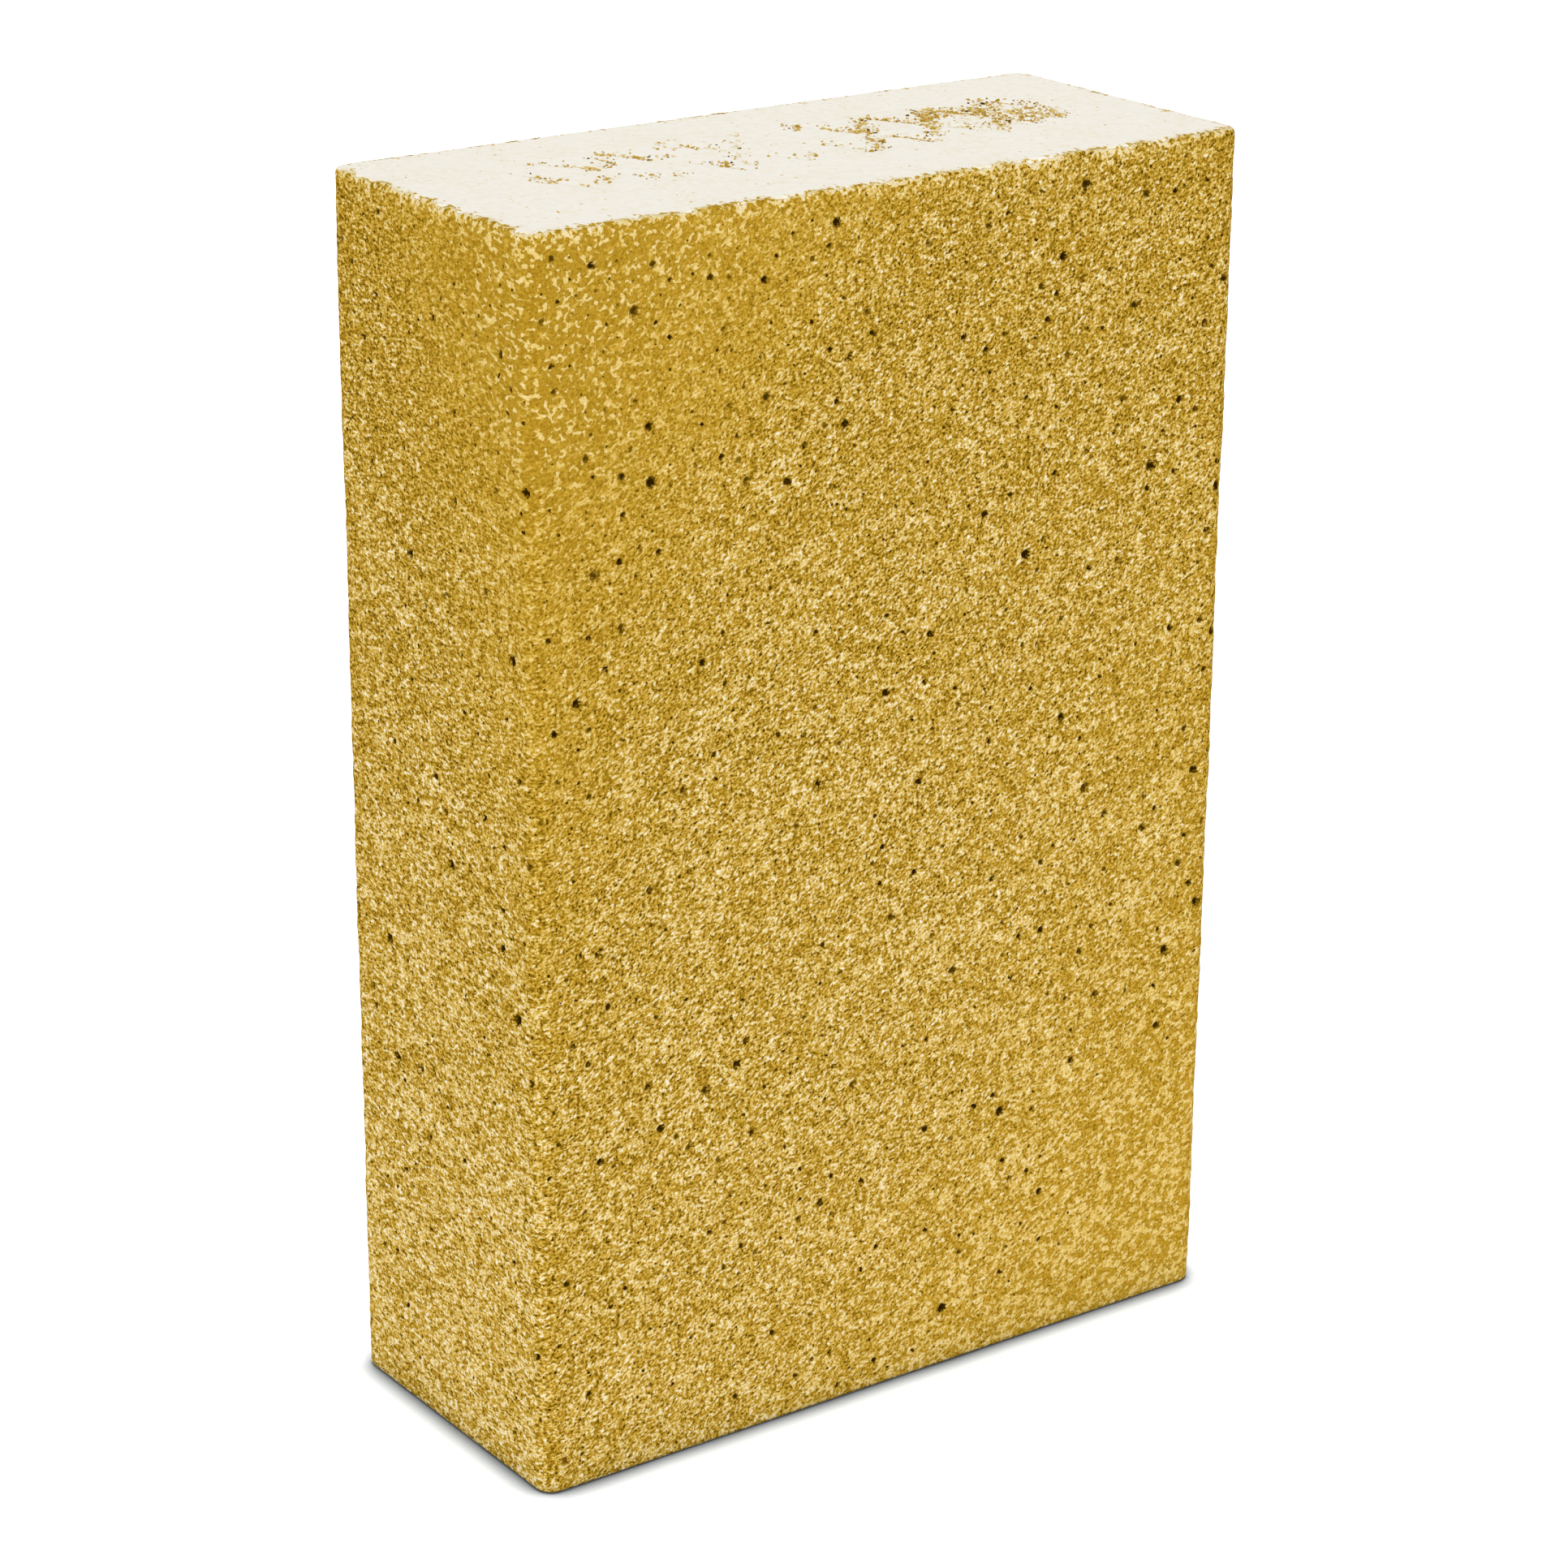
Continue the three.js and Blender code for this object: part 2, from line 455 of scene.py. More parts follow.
def skin_piece(name, turns, length, reach, form, sizes, share):
    """One granular skin: a thin closed shell that is turned round the upright edges as far
    as its neighbours, with torn rims and real pores."""
    half = length / 2 - EDGE_RADIUS
    arc = math.pi / 4 * EDGE_RADIUS - 0.01
    straight = np.linspace(-half, half, int(2 * half / SKIN_STEP))
    bend = np.linspace(0, arc, 9)[1:]
    columns = np.concatenate([-half - bend[::-1], straight, half + bend])
    foot = np.linspace(form.low_rim, 0, 4)[:-1]
    wall_top = form.straight - CREST
    wall = np.linspace(0, wall_top, int(form.straight / SKIN_RISE))
    crest = np.linspace(0, 1, 11)[1:]
    side = np.sign(columns)
    swing = np.maximum(np.abs(columns) - half, 0) / EDGE_RADIUS
    facing = np.column_stack([side * np.sin(swing), -np.cos(swing), 0 * swing])
    centre = np.column_stack([side * np.minimum(np.abs(columns), half), 0 * swing])
    centre[:, 1] = EDGE_RADIUS - reach
    outline = np.column_stack([centre + EDGE_RADIUS * facing[:, :2], 0 * swing])
    high = form.high_rim(turned(outline, turns)[:, :2], turned(facing, turns)[:, :2])

    def sheet(climb):
        """Points of the outer form and the way out of it, column by column."""
        inset, height, lean = form.profile(climb)
        plan = centre[:, None, :] + (EDGE_RADIUS - inset)[..., None] * facing[:, None, :2]
        points = np.dstack([plan, height]).reshape(-1, 3)
        out = np.cos(lean)[..., None] * facing[:, None, :]
        out[..., 2] += np.sin(lean)
        return turned(points, turns), turned(out.reshape(-1, 3), turns)

    lower = np.tile(np.concatenate([foot, wall]), (len(columns), 1))
    climb = np.hstack([lower, wall_top + (high[:, None] - wall_top) * crest[None, :]])
    rows = climb.shape[1]
    points, out = sheet(climb)
    rng = np.random.default_rng([sizes.seed, turns])
    pores = scattered_pores(rng, length, form, sizes, share, name.endswith("front"))
    offset, dark, sink = open_pores(columns, climb[0, : lower.shape[1]], pores)
    pad = ((0, 0), (0, len(crest)), (0, 0))
    offset = np.pad(offset, pad, constant_values=NO_PORE)
    dark = np.pad(dark, pad[:2])
    sink = np.pad(sink, pad[:2])
    stretched = points * np.array([1, 1, 1.3])
    relief = sizes.swell / MM * layered_noise(points, 16.0, 2, sizes.seed + 1)
    relief += sizes.grain / MM * layered_noise(stretched, 2.6, 2, sizes.seed + 2)
    relief *= 0.35 + 0.65 * ease(high[:, None] - climb, 0, 3).ravel()
    relief *= ease(climb, form.low_rim, 1.0).ravel()
    outer = points + out * (relief - sink.ravel())[:, None]

    stops = [form.low_rim, form.low_rim + 0.5, form.low_rim + 0.95, form.low_rim + 1.45]
    fall = np.array([2.3, 1.6, 1.1, 0.6, 0.0])
    back_climb = np.hstack(
        [np.tile(stops, (len(columns), 1)), high[:, None] - fall[None, :]]
    )
    depth = form.skin_depth(back_climb, high[:, None]).ravel()
    inner, inward = sheet(back_climb)
    inner = inner - inward * depth[:, None]
    back_rows = back_climb.shape[1]
    sheets, strips, ends = shell_faces(len(columns), rows, back_rows)
    front_faces, back_faces = sheets
    foot_faces, crest_faces = strips
    end_low, end_high = ends
    polygons = [*front_faces, *back_faces, *foot_faces, *crest_faces, end_low, end_high]

    # The outer face's map fills a tall band, and the inner face's a narrow one above it
    across = bordered((columns - columns[0]) / (columns[-1] - columns[0]))[:, None]
    rise = (climb - form.low_rim) / (high.max() - form.low_rim)
    back_rise = (back_climb - form.low_rim) / (high.max() - form.low_rim)
    on_front = np.dstack([across + 0 * rise, 0.015 + 0.905 * rise])
    on_back = np.dstack([across + 0 * back_rise, 0.95 + 0.04 * back_rise])
    beside = np.dstack([across + 0 * back_rise, 0.015 + 0.905 * back_rise])
    places = np.concatenate([on_front.reshape(-1, 2), on_back.reshape(-1, 2)])
    edges = np.concatenate([on_front.reshape(-1, 2), beside.reshape(-1, 2)])
    maps = [places[front_faces.ravel()], places[back_faces.ravel()]]
    start = len(outer)
    for faces, shift in (
        (foot_faces, (0, -0.008)),
        (crest_faces, (0, 0.008)),
        (end_low, (-0.007, 0)),
        (end_high, (0.007, 0)),
    ):
        corners = faces.ravel()
        maps.append(edges[corners] + (corners >= start)[:, None] * np.array(shift))
    smooth = np.ones(len(polygons), dtype=bool)
    smooth[-2:] = False
    piece = built_mesh(name, np.vstack([outer, inner]), polygons, np.concatenate(maps), smooth)
    on_seam = np.zeros(len(outer) + len(inner), dtype=bool)
    on_seam[end_low] = True
    on_seam[end_high] = True
    sharpen(piece, on_seam)
    hidden = np.full((len(inner), 3), NO_PORE)
    note_points(piece, "pore", "FLOAT_VECTOR", np.vstack([offset.reshape(-1, 3), hidden]))
    note_points(piece, "pore_dark", "FLOAT", np.append(dark.ravel(), np.zeros(len(inner))))
    pale = flake_cover(name, columns[:, None] / length, climb / form.straight, length).ravel()
    note_points(piece, "pale", "FLOAT", np.append(pale, np.zeros(len(inner))))
    rim = (high[:, None] - climb).ravel()
    note_points(piece, "rim", "FLOAT", np.append(rim, np.full(len(inner), rim.max())))
    return piece


# The core and its pressed mark


class Mark:
    """The chain of lozenges, and how strongly it is marked at each place."""

    def __init__(self, sizes):
        low, high = MARK_BOX
        self.centre = (low[:2] + high[:2]) / 2
        self.count = max(1, round((high[0] - low[0]) / (sizes.lozenge / MM)))
        self.length = sizes.lozenge / MM
        self.half_breadth = (high[1] - low[1]) / 2 - sizes.stroke / MM / 2
        self.stroke = sizes.stroke / MM
        self.seed = sizes.seed
        self.lines = []
        for i in range(self.count):
            x = self.centre[0] + (i - (self.count - 1) / 2) * self.length
            y = self.centre[1]
            tips = [
                (x - self.length / 2, y),
                (x, y - self.half_breadth),
                (x + self.length / 2, y),
                (x, y + self.half_breadth),
            ]
            self.lines += [(np.array(tips[k]), np.array(tips[(k + 1) % 4])) for k in range(4)]

    def distance(self, plan):
        """How far points are from the nearest line of the mark."""
        best = np.full(len(plan), 1e9)
        for start, end in self.lines:
            way = end - start
            share = np.clip((plan - start) @ way / (way @ way), 0, 1)
            best = np.minimum(best, np.linalg.norm(plan - start - share[:, None] * way, axis=1))
        return best

    def strength(self, plan):
        """From 0 to about 1: the mark comes and goes, and it is strongest near its +X end."""
        flat = np.column_stack([plan, np.zeros(len(plan))])
        along = (plan[:, 0] - self.centre[0]) / (self.count * self.length / 2)
        patches = layered_noise(flat, 9.0, 2, self.seed + 60)
        patches += 0.5 * soft_noise(flat * np.array([1, 0.6, 1]), 1.6, self.seed + 63)
        return np.clip(0.33 + 0.1 * along + 0.55 * patches + 0.35 * self.smear(plan), 0, 1)

    def smear(self, plan):
        """The patch near the +X end where crumbs also lie between the lines."""
        along = (plan[:, 0] - self.centre[0]) / (self.count * self.length / 2)
        aside = np.abs(plan[:, 1] - self.centre[1] - 1) / self.half_breadth
        return ease(along, 0.45, 0.75) * (1 - ease(along, 0.85, 1.0)) * (1 - ease(aside, 0.4, 0.9))

    def sink(self, plan, depth):
        """How deep the top end is pressed in."""
        line = 1 - ease(self.distance(plan), 0.2, 0.5 * self.stroke + 0.6)
        return depth * line * (0.25 + 0.75 * self.strength(plan)) + 0.25 * depth * self.smear(plan)


def foam_block(form, sizes, mark):
    """The bare foam: one closed body, wrapped over both ends and joined down the sides."""
    skirt = 3.2
    edge = EDGE_RADIUS - form.round + QUARTER * form.round + skirt

    def lines(length):
        half = length / 2 - EDGE_RADIUS
        inside = np.linspace(-half, half, int(2 * half / END_STEP) + 1)
        outside = half + np.linspace(0, edge, 19)[1:]
        return np.concatenate([-outside[::-1], inside, outside])

    across, back = lines(WIDTH), lines(THICKNESS)
    plan = np.dstack(np.meshgrid(across, back, indexing="ij")).reshape(-1, 2)
    inner_corner = np.array([WIDTH / 2, THICKNESS / 2]) - EDGE_RADIUS
    centre = np.clip(plan, -inner_corner, inner_corner)
    over = plan - centre
    spread = np.abs(over).max(axis=1)
    facing = over / np.maximum(np.linalg.norm(over, axis=1), 1e-9)[:, None]
    outline = centre + EDGE_RADIUS * facing
    caps = []
    past_rim = np.full(2 * len(plan), 9.0)
    for top in (True, False):
        inwards = EDGE_RADIUS - form.round - spread
        if top:
            climb = form.straight + QUARTER * form.round + inwards
        else:
            climb = -QUARTER * form.round - inwards
        inset, height, lean = form.profile(climb)
        if not top:
            inset = inset + np.maximum(inwards, 0)
        reach = np.where(spread > 0, EDGE_RADIUS - inset, 0)
        points = np.column_stack([centre + reach[:, None] * facing, height])
        out = np.column_stack([np.cos(lean)[:, None] * facing, np.sin(lean)])
        rim = form.high_rim(outline, facing) if top else np.full(len(climb), form.straight)
        depth = np.where(spread > 0, form.core_depth(climb, rim), 0)
        depth = depth - 0.035 * layered_noise(points, 3.0, 2, sizes.seed + 40)
        depth = depth - 0.05 * layered_noise(points, 14.0, 2, sizes.seed + 41)
        if not top:
            depth = np.maximum(depth, 0.02)
        if top:
            past_rim[: len(plan)] = np.clip(climb - rim, -1, 9)
            level = ease(-spread, -1.5, 0)
            depth = depth + mark.sink(points[:, :2], sizes.groove / MM) * level
        caps.append(points - out * depth[:, None])
    columns, rows = len(across), len(back)
    top_faces = grid_faces(columns, rows)
    low_faces = grid_faces(columns, rows, columns * rows)[:, ::-1]
    ring = np.concatenate(
        [
            np.arange(columns) * rows,
            (columns - 1) * rows + np.arange(1, rows),
            np.arange(columns - 2, -1, -1) * rows + rows - 1,
            np.arange(rows - 2, 0, -1),
        ]
    )
    after = np.roll(ring, -1)
    below = columns * rows
    wall_faces = np.column_stack([ring + below, after + below, after, ring])

    # The top end's map lies over the bottom end's, with the wall's in a strip between
    span = (plan - plan.min(axis=0)) / (plan.max(axis=0) - plan.min(axis=0))
    places = np.concatenate(
        [
            np.column_stack([bordered(span[:, 0]), 0.53 + 0.46 * span[:, 1]]),
            np.column_stack([bordered(span[:, 0]), 0.01 + 0.46 * span[:, 1]]),
        ]
    )
    round_about = np.arange(len(ring) + 1) / len(ring)
    lower_edge = np.full(len(ring), 0.485)
    upper_edge = np.full(len(ring), 0.515)
    wall_maps = np.stack(
        [
            np.column_stack([round_about[:-1], lower_edge]),
            np.column_stack([round_about[1:], lower_edge]),
            np.column_stack([round_about[1:], upper_edge]),
            np.column_stack([round_about[:-1], upper_edge]),
        ],
        axis=1,
    )
    polygons = [*top_faces, *low_faces, *wall_faces]
    maps = [places[top_faces.ravel()], places[low_faces.ravel()], wall_maps.reshape(-1, 2)]
    points = np.vstack(caps)
    piece = built_mesh("foam_block", points, polygons, np.concatenate(maps))
    flat = points[:, :2]
    # Painted shade of the crushed cells along the pressed mark's lines
    stain = np.exp(-((mark.distance(flat) / 1.3) ** 2)) * mark.strength(flat)
    stain = np.maximum(stain, 0.75 * mark.smear(flat) * mark.strength(flat))
    stain[below:] = 0
    note_points(piece, "stain", "FLOAT", stain)
    # Besides dust specks, this value places painted shade on the rounded top edge just past the
    # rims
    dust = 0.3 * (1 - np.exp(-np.maximum(past_rim, 0) / 2.2)) + 0.1 * np.minimum(past_rim, 0)
    note_points(piece, "dust", "FLOAT", dust)
    return piece


def crumb_shape():
    """A twelve-cornered lump: its corners and its faces."""
    golden = (1 + math.sqrt(5)) / 2
    corners = []
    for a in (-1, 1):
        for b in (-golden, golden):
            corners += [(a, b, 0), (0, a, b), (b, 0, a)]
    corners = np.array(corners) / math.hypot(1, golden)
    faces = []
    for i in range(12):
        for j in range(i + 1, 12):
            for k in range(j + 1, 12):
                trio = corners[[i, j, k]]
                sides = np.linalg.norm(trio - np.roll(trio, 1, axis=0), axis=1)
                if sides.max() < 1.1:
                    outward = np.linalg.det(trio) > 0
                    faces.append((i, j, k) if outward else (i, k, j))
    return corners, np.array(faces)


def mark_crumbs(sizes, mark):
    """The crushed cells that line the pressed mark, as small broken crumbs."""
    rng = np.random.default_rng([sizes.seed, 77])
    corners, faces = crumb_shape()
    points, polygons, tones, maps = [], [], [], []
    per_row = math.ceil(math.sqrt(sizes.crumbs))
    while len(points) < sizes.crumbs:
        if rng.random() < 0.38:
            low, high = MARK_BOX
            spot = rng.uniform(low[:2], high[:2])
            if rng.random() > mark.smear(spot[None, :])[0]:
                continue
        else:
            start, end = mark.lines[rng.integers(len(mark.lines))]
            spot = start + (end - start) * rng.random() + rng.uniform(-2.3, 2.3, 2)
        if rng.random() > mark.strength(spot[None, :])[0] ** 1.3:
            continue
        size = sizes.crumb / MM * math.exp(0.35 * rng.standard_normal())
        lump = corners * (1 + 0.28 * rng.standard_normal((12, 1)).clip(-1.5, 1.5))
        spin = rng.random() * 2 * math.pi
        turn = np.array([[math.cos(spin), -math.sin(spin)], [math.sin(spin), math.cos(spin)]])
        lump = lump * size * rng.uniform([0.8, 0.9, 0.7], [1.2, 1.6, 1.1])
        lump[:, :2] = lump[:, :2] @ turn.T
        floor = HEIGHT - mark.sink(spot[None, :], sizes.groove / MM)[0]
        index = len(points)
        cell = np.array([index % per_row + 0.5, index // per_row + 0.5]) / per_row
        flat = lump[faces][..., :2] / (12 * size)
        normal = np.cross(
            lump[faces[:, 1]] - lump[faces[:, 0]], lump[faces[:, 2]] - lump[faces[:, 0]]
        )
        flat[..., 0] += np.where(normal[:, 2] < 0, 0.22, -0.22)[:, None]
        maps.append((cell + flat * 0.9 / per_row).reshape(-1, 2))
        points.append(lump + np.array([*spot, floor + 0.12 * size]))
        polygons.append(faces + 12 * index)
        tones.append(np.full(12, rng.random()))
    piece = built_mesh(
        "mark_crumbs",
        np.concatenate(points),
        list(np.concatenate(polygons)),
        np.concatenate(maps),
    )
    note_points(piece, "crumb_tone", "FLOAT", np.concatenate(tones))
    return piece


# Materials, with their lengths in metres

FLAKE = 0.00085  # a small flake of the skin
LARGE_FLAKE = 0.0011  # a flake near the low-X, low-Y corner of the top end
SHAKE = 0.0009  # how far the flakes' edges wander
JAG = 1.1  # how far a pore's edge wanders, in radii
GRAIN = 0.0006
GRAIN_HEIGHT = 0.00022
CELL_HEIGHT = 0.0001  # the bare foam's cells
CRUMB_HEIGHT = 0.00008
FIBRE_HEIGHT = 0.00001


class Wire:
    """A value in a material. Arithmetic on it adds Math nodes."""

    def __init__(self, finish, socket):
        self.finish = finish
        self.socket = socket

    def __add__(self, other):
        return self.finish.maths("ADD", self, other)

    def __radd__(self, other):
        return self.finish.maths("ADD", other, self)

    def __sub__(self, other):
        return self.finish.maths("SUBTRACT", self, other)

    def __rsub__(self, other):
        return self.finish.maths("SUBTRACT", other, self)

    def __mul__(self, other):
        return self.finish.maths("MULTIPLY", self, other)

    def __rmul__(self, other):
        return self.finish.maths("MULTIPLY", other, self)


class Finish:
    """A material being put together."""

    def __init__(self, name):
        self.material = bpy.data.materials.new(name)
        self.material.use_nodes = True
        self.tree = self.material.node_tree
        self.tree.nodes.clear()

    def node(self, kind, settings=None, sockets=None, output=0):
        """Adds a node with its settings, then the values or links of its sockets."""
        made = self.tree.nodes.new(kind)
        for key, value in (settings or {}).items():
            if key == "stops":
                self.set_stops(made.color_ramp, value)
            else:
                setattr(made, key, value)
        for key, value in (sockets or {}).items():
            if isinstance(value, Wire):
                self.tree.links.new(value.socket, made.inputs[key])
            else:
                made.inputs[key].default_value = value
        return Wire(self, made.outputs[output]) if len(made.outputs) else made

    @staticmethod
    def set_stops(ramp, stops):
        while len(ramp.elements) < len(stops):
            ramp.elements.new(0.5)
        for element, (position, colour) in zip(ramp.elements, stops):
            element.position = position
            element.color = (*colour, 1)

    def maths(self, operation, first, second):
        """Adds a Math node."""
        return self.node("ShaderNodeMath", {"operation": operation}, {0: first, 1: second})

    def between(self, value, low, high, to_low=0.0, to_high=1.0):
        """Eases from to_low at low to to_high at high."""
        return self.node(
            "ShaderNodeMapRange",
            {"interpolation_type": "SMOOTHSTEP"},
            {"Value": value, 1: low, 2: high, 3: to_low, 4: to_high},
        )

    def place(self, stretch=(1, 1, 1), shift=(0, 0, 0)):
        """Where a point is on the brick, stretched and shifted."""
        return self.moved(self.node("ShaderNodeTexCoord", output="Object"), stretch, shift)

    def moved(self, vector, stretch, shift):
        """A vector times one and plus another."""
        return self.vector_maths("MULTIPLY_ADD", {0: vector, 1: stretch, 2: shift})

    def vector_maths(self, operation, vectors, output="Vector"):
        """Adds a Vector Math node."""
        return self.node("ShaderNodeVectorMath", {"operation": operation}, vectors, output)

    def noted(self, name, output="Fac"):
        """A value that the mesh keeps for each of its points."""
        return self.node("ShaderNodeAttribute", {"attribute_name": name}, None, output)

    def graded(self, tone, colours):
        """The grain's colour at a tone from 0 to 1."""
        return self.node(
            "ShaderNodeValToRGB", {"stops": grain_stops(colours)}, {"Fac": tone}, "Color"
        )

    def noise(self, place, size, detail=2.0, rough=0.5, output="Fac"):
        """Noise whose blotches are about the size given, in metres."""
        return self.node(
            "ShaderNodeTexNoise",
            {"noise_dimensions": "3D"},
            {"Vector": place, "Scale": 1 / size, "Detail": detail, "Roughness": rough},
            output,
        )

    def close(self, colour, roughness, bump, depth, specular=0.0, glow=0.0):
        """Ends the material in one shader."""
        normal = self.node(
            "ShaderNodeBump", None, {"Height": bump, "Distance": depth, "Strength": 1.0}
        )
        sockets = {
            "Base Color": colour,
            "Roughness": roughness,
            "Normal": normal,
            "Specular IOR Level": specular,
        }
        if glow:
            sockets |= {"Emission Color": colour, "Emission Strength": glow}
        shader = self.node("ShaderNodeBsdfPrincipled", None, sockets)
        self.node("ShaderNodeOutputMaterial", None, {"Surface": shader})
        return self.material


def dulled(colour):
    """A colour held down for the stage's light."""
    return tuple(REFLECTANCE * c for c in colour)


def grain_stops(colours):
    """The grain's colours in order of their brightness."""
    return [
        (0.07, dulled(colours.pit)),
        (0.21, dulled(colours.umber)),
        (0.35, dulled(colours.bronze)),
        (0.49, dulled(colours.gold)),
        (0.63, dulled(colours.straw)),
        (0.77, dulled(colours.sand)),
        (0.90, dulled(colours.ivory)),
        (0.96, colours.foam),
    ]


def granular_skin(colours):
    """Gold grains under pale flakes, with painted shade along the upright edges and in the dark
    pores, painted light bounced from the floor low down, and painted glints.
    """
    finish = Finish("granular_gold_skin")
    at = finish.place()
    parts = {
        axis: finish.node("ShaderNodeSeparateXYZ", None, {0: at}, axis) for axis in "XYZ"
    }
    height = parts["Z"]
    # The grain leans a little on the wide sides, and is coarser along the low-X side
    deep = parts["Y"] * finish.between(parts["X"], -0.07, 0.07, 0.66, 1.1)
    squat = finish.node(
        "ShaderNodeCombineXYZ",
        None,
        {"X": parts["X"], "Y": deep, "Z": 1.25 * height - 0.35 * parts["X"]},
    )
    # Where the grain is crisp, and where the flakes lie thicker; down and crest also paint the
    # light bounced from the floor, paler low on the sides and darker near their tops
    drift = finish.noise(at, 0.055, 1.0)
    across = finish.between(parts["X"], -0.09, 0.09)
    down = finish.between(height, 0.21, 0.01)
    crest = finish.between(height, 0.16, 0.23)
    slope = 0.55 * parts["X"] + 0.3 * parts["Y"] - 0.35 * height
    slope = slope + 0.066 + 0.03 * (drift - 0.5)
    corner = slope + 0.5 * parts["Y"] + 0.016
    plain = finish.between(corner, -0.013, -0.053)
    crisp = 1.08 - 0.8 * plain - 0.66 * finish.between(slope, 0.02, 0.1)
    # Pale flakes on the gold body: each small cell of the skin is either gold or pale
    bands = finish.noise(finish.place(stretch=(1, 1, 1.8)), 0.014, 1.0)
    crowd = finish.noise(squat, 0.0022, 2.0, 0.6)
    shaken = finish.noise(at, SHAKE, 1.0, 0.5, "Color")
    shaken = finish.moved(shaken, (SHAKE, SHAKE, SHAKE), squat)
    cells = finish.node(
        "ShaderNodeTexVoronoi",
        {"feature": "SMOOTH_F1"},
        {"Vector": shaken, "Scale": 1 / FLAKE, "Smoothness": 0.3},
        "Color",
    )
    own = finish.node("ShaderNodeSeparateColor", None, {0: cells}, "Red")
    pale = finish.noted("pale")
    cover = 0.59 + 0.09 * crest - 0.08 * down - 0.03 * across - 0.4 * (bands - 0.5)
    cover = cover + 0.12 * plain - 0.12 * pale
    flake = finish.between(own + 1.7 * (crowd - 0.5) - cover, -0.06, 0.1)
    large = finish.noise(finish.place((1, 0.66, 1.1), (0.2, 0.6, 0.4)), LARGE_FLAKE, 1.5, 0.5)
    large = finish.between(large, 0.53, 0.61)
    flake = flake * (1 - 0.6 * plain)
    flake = finish.maths("MAXIMUM", flake, plain * large)
    fine = finish.noise(squat, GRAIN, 2.0, 0.6)
    sparkle = finish.noise(finish.place(shift=(0.31, 0.2, 0.1)), 0.0005, 1.5)
    tone = 0.54 + (0.18 + 0.06 * plain) * flake
    # The down term in the tone is painted light bounced from the floor
    tone = tone + crisp * 1.25 * (fine - 0.5) + 0.012 * (down + pale)
    # Painted glints where the sparkle noise is high, and darker specks where it is low
    tone = tone + crisp * finish.between(sparkle, 0.56, 0.76, 0.0, 0.18)
    tone = tone - crisp * finish.between(sparkle, 0.43, 0.26, 0.0, 0.35)
    tone = finish.maths("MINIMUM", tone, 0.3 + 0.63 * tone)
    # Pale specks along the torn rim
    rim = finish.noted("rim")
    torn = finish.noise(finish.place(shift=(0.7, 0.1, 0.3)), 0.0012, 2.5, 0.6)
    torn = torn - 0.06 * rim + finish.between(rim, 0.6, 0.0, 0.0, 0.1)
    torn = finish.between(torn, 0.43, 0.53)
    tone = tone + torn * (0.87 - 0.03 * rim - tone)
    # Pores
    offset = finish.noted("pore", "Vector")
    dark = finish.noted("pore_dark")
    jag = finish.noise(at, GRAIN, 2.0, 0.6, "Color")
    bent = finish.moved(jag, (2 * JAG, 2 * JAG, 0), offset)
    bent = finish.vector_maths("SUBTRACT", {0: bent, 1: (JAG, JAG, 0)})
    away = finish.vector_maths("LENGTH", {0: bent}, "Value")
    hole = finish.between(away, 1.25, 0.45)
    # Painted shade: each pore darkens towards the pit colour as far as its noted darkness
    tone = tone * (1 - hole * dark) + hole * dark * 0.1
    bump = 0.6 * flake + crisp * fine - 1.3 * hole
    return finish.close(finish.graded(tone, colours), 0.95 - 0.12 * flake, bump, GRAIN_HEIGHT)


def bare_foam(colours):
    """Fine pale foam, partly painted light: on the top end its cream-white stands for the strong
    light there. Gold specks along the pressed mark are painted shade of its crushed cells, and the
    rounded edge past the skins' rims has painted shade.
    """
    finish = Finish("bare_pale_foam")
    at = finish.place()
    mottle = finish.noise(at, 0.0016, 3.0, 0.6)
    cells = finish.noise(at, 0.0005, 1.0)
    clouds = finish.noise(at, 0.012, 2.0)
    stain = finish.noted("stain")
    rim_dust_and_edge_shade = finish.noted("dust")
    specks = finish.noise(finish.place((1, 0.55, 1), (0.1, 0.4, 0.2)), 0.0009, 2.0, 0.6)
    groove_shade_specks = finish.between(specks - 0.16 * stain, 0.42, 0.32)
    dust = finish.between(specks + rim_dust_and_edge_shade, 0.55, 0.42)
    lone = finish.between(finish.noise(at, 0.0021, 1.0), 0.205, 0.17)
    # The foam's high tone is partly painted light for the strong light on the top end
    tone = 0.967 - 0.02 * finish.between(mottle, 0.65, 0.35)
    tone = tone - 0.008 * finish.between(clouds, 0.6, 0.3)
    # Painted shade: gold specks darken the foam along the pressed mark
    groove_shade_specks = groove_shade_specks * finish.between(stain, 0.04, 0.3)
    # Painted shade: darker on the rounded top edge just past the skins' rims, where it catches
    # more light
    tone = tone - 0.028 * finish.between(rim_dust_and_edge_shade, 0.15, 0.0)
    tone = tone - finish.maths("MAXIMUM", 0.2 * groove_shade_specks, 0.36 * dust) - 0.3 * lone
    bump = 0.5 * cells + mottle - 0.6 * groove_shade_specks
    return finish.close(finish.graded(tone, colours), 0.9 + 0.1 * mottle, bump, CELL_HEIGHT)


def crushed_crumbs(colours):
    """Crumbs from dark brown to gold."""
    finish = Finish("crushed_foam_crumbs")
    own = finish.noted("crumb_tone")
    fine = finish.noise(finish.place(), 0.0004, 2.0)
    tone = 0.2 + 0.34 * finish.between(own, 0.03, 0.1) + 0.18 * own + 0.24 * (fine - 0.5)
    return finish.close(finish.graded(tone, colours), 0.85 + 0.1 * own, fine, CRUMB_HEIGHT)


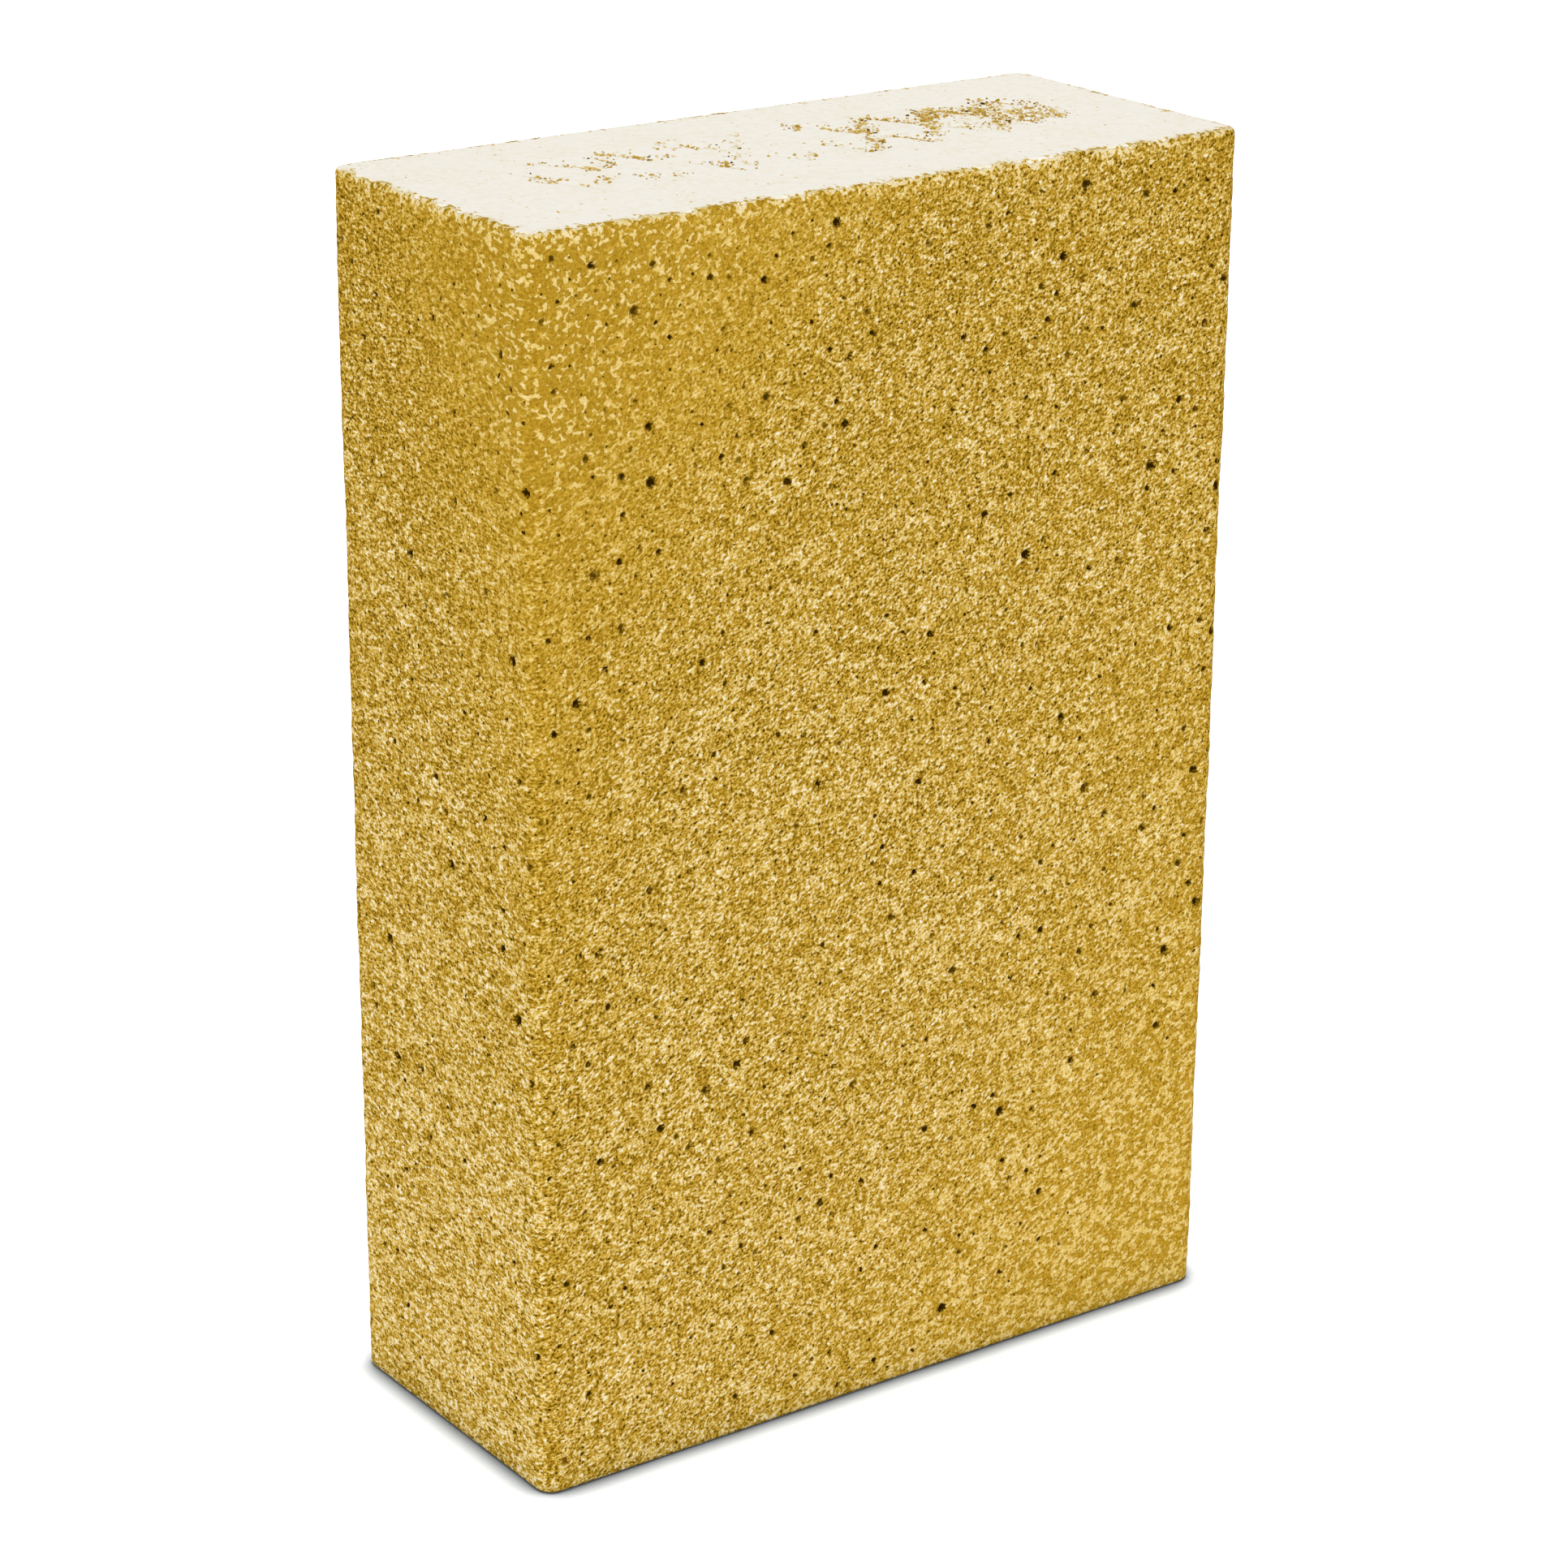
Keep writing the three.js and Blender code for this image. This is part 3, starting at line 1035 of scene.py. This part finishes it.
def studio_floor():
    """White paper with a painted contact shadow where something stands close over it."""
    finish = Finish("studio_floor")
    near = finish.node(
        "ShaderNodeAmbientOcclusion", {"samples": 8}, {"Distance": 0.0065}, "AO"
    )
    wide = finish.node(
        "ShaderNodeAmbientOcclusion", {"samples": 8}, {"Distance": 0.03}, "AO"
    )
    # Painted contact shadow: the paper darkens where the near occlusion is strong
    tone = finish.between(near, 0.36, 0.97, 0.1, 1.0)
    # A painted cool tint holds back the brick's warm bounce light on the paper
    warm = finish.between(wide, 0.98, 0.55, 0.0, 0.12)
    channels = {"Red": tone * (1 - warm), "Green": tone * (1 - 0.5 * warm), "Blue": tone}
    colour = finish.node("ShaderNodeCombineColor", None, channels, "Color")
    fibres = finish.noise(finish.place(), 0.0008, 2.0)
    return finish.close(colour, 0.9, fibres, FIBRE_HEIGHT, glow=0.42)


# Operators

SUN_TURN = math.radians(38)
SUN_HEIGHT = math.radians(55)
SUN_WIDTH = math.radians(14)


def facing_down(turn, tilt):
    """A direction turned from +Y towards +X and tilted down."""
    level = Vector((math.sin(turn), math.cos(turn), 0)) * math.cos(tilt)
    return level - Vector((0, 0, math.sin(tilt)))


class FOAMBRICK_OT_core(bpy.types.Operator):
    """Builds the bare foam block with its pressed mark."""

    bl_idname = "foambrick.core"
    bl_label = "Foam Block"

    def execute(self, context):
        sizes = context.scene.brick_sizes
        piece = foam_block(Form(sizes), sizes, Mark(sizes))
        piece.data.materials.append(bare_foam(context.scene.brick_colours))
        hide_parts("foam_core")
        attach(piece, "root")
        return {"FINISHED"}


class FOAMBRICK_OT_skins(bpy.types.Operator):
    """Builds the granular skin of each long side."""

    bl_idname = "foambrick.skins"
    bl_label = "Skins"

    def execute(self, context):
        sizes = context.scene.brick_sizes
        form = Form(sizes)
        material = granular_skin(context.scene.brick_colours)
        for turns, side in enumerate(SIDES):
            wide = turns % 2 == 0
            length, reach = (WIDTH, THICKNESS / 2) if wide else (THICKNESS, WIDTH / 2)
            share = 0.8 if side == "left" else 1.0
            piece = skin_piece("granular_skin_" + side, turns, length, reach, form, sizes, share)
            piece.data.materials.append(material)
            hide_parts("skin_" + side)
            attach(piece, "root")
        return {"FINISHED"}


class FOAMBRICK_OT_mark(bpy.types.Operator):
    """Lays the crushed crumbs in the pressed mark."""

    bl_idname = "foambrick.mark"
    bl_label = "Mark"

    def execute(self, context):
        sizes = context.scene.brick_sizes
        piece = mark_crumbs(sizes, Mark(sizes))
        piece.data.materials.append(crushed_crumbs(context.scene.brick_colours))
        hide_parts("pressed_mark")
        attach(piece, "root")
        return {"FINISHED"}


class FOAMBRICK_OT_stage(bpy.types.Operator):
    """Sets the floor, the light and the camera."""

    bl_idname = "foambrick.stage"
    bl_label = "Stage"

    def execute(self, context):
        scene = context.scene
        stage = scene.brick_stage
        bpy.ops.mesh.primitive_plane_add(size=12)
        floor = context.object
        floor.name = "studio_floor"
        floor.data.materials.append(studio_floor())
        world = bpy.data.worlds.new("studio_sky")
        world.use_nodes = True
        world.node_tree.nodes["Background"].inputs["Color"].default_value = (1, 1, 1, 1)
        world.node_tree.nodes["Background"].inputs["Strength"].default_value = stage.sky
        scene.world = world
        lamp = bpy.data.lights.new("key", "SUN")
        lamp.energy = stage.key
        lamp.angle = SUN_WIDTH
        key = bpy.data.objects.new("key", lamp)
        towards = facing_down(SUN_TURN, SUN_HEIGHT)
        key.rotation_mode = "QUATERNION"
        key.rotation_quaternion = towards.to_track_quat("-Z", "Y")
        scene.collection.objects.link(key)
        scene.collection.objects.link(self.camera(stage))
        scene.camera = bpy.data.objects["camera"]
        scene.view_settings.view_transform = "Standard"
        scene.view_settings.look = "None"
        return {"FINISHED"}

    @staticmethod
    def camera(stage):
        """The camera, from its place and the way it faces."""
        lens = bpy.data.cameras.new("camera")
        lens.sensor_width = 36
        lens.lens = stage.lens
        lens.clip_start = 0.01
        camera = bpy.data.objects.new("camera", lens)
        ahead = facing_down(stage.turn, stage.tilt)
        right = Vector((math.cos(stage.turn), -math.sin(stage.turn), 0))
        up = right.cross(ahead)
        leaned = right * math.cos(stage.roll) + up * math.sin(stage.roll)
        upright = up * math.cos(stage.roll) - right * math.sin(stage.roll)
        axes = Matrix((leaned, upright, -ahead)).transposed()
        camera.matrix_world = Matrix.Translation(stage.place) @ axes.to_4x4()
        return camera


class FOAMBRICK_PT_panel(bpy.types.Panel):
    """Lists the brick's operators and settings."""

    bl_idname = "FOAMBRICK_PT_panel"
    bl_label = "Foam Brick"
    bl_space_type = "VIEW_3D"
    bl_region_type = "UI"
    bl_category = "Foam Brick"

    def draw(self, context):
        for operator in OPERATORS:
            self.layout.operator(operator.bl_idname)
        for name in SETTINGS:
            group = getattr(context.scene, name)
            box = self.layout.box()
            for key in group.bl_rna.properties.keys():
                if key not in ("rna_type", "name"):
                    box.prop(group, key)


OPERATORS = (FOAMBRICK_OT_core, FOAMBRICK_OT_skins, FOAMBRICK_OT_mark, FOAMBRICK_OT_stage)
SETTINGS = {
    "brick_sizes": BrickSizes,
    "brick_colours": BrickColours,
    "brick_stage": BrickStage,
}


def register():
    for group in (*SETTINGS.values(), *OPERATORS, FOAMBRICK_PT_panel):
        bpy.utils.register_class(group)
    for name, group in SETTINGS.items():
        setattr(bpy.types.Scene, name, PointerProperty(type=group))


def unregister():
    for name in SETTINGS:
        delattr(bpy.types.Scene, name)
    for group in reversed((*SETTINGS.values(), *OPERATORS, FOAMBRICK_PT_panel)):
        bpy.utils.unregister_class(group)


def main():
    register()
    bpy.ops.foambrick.core()
    bpy.ops.foambrick.skins()
    bpy.ops.foambrick.mark()
    bpy.ops.foambrick.stage()


if __name__ == "__main__":
    main()
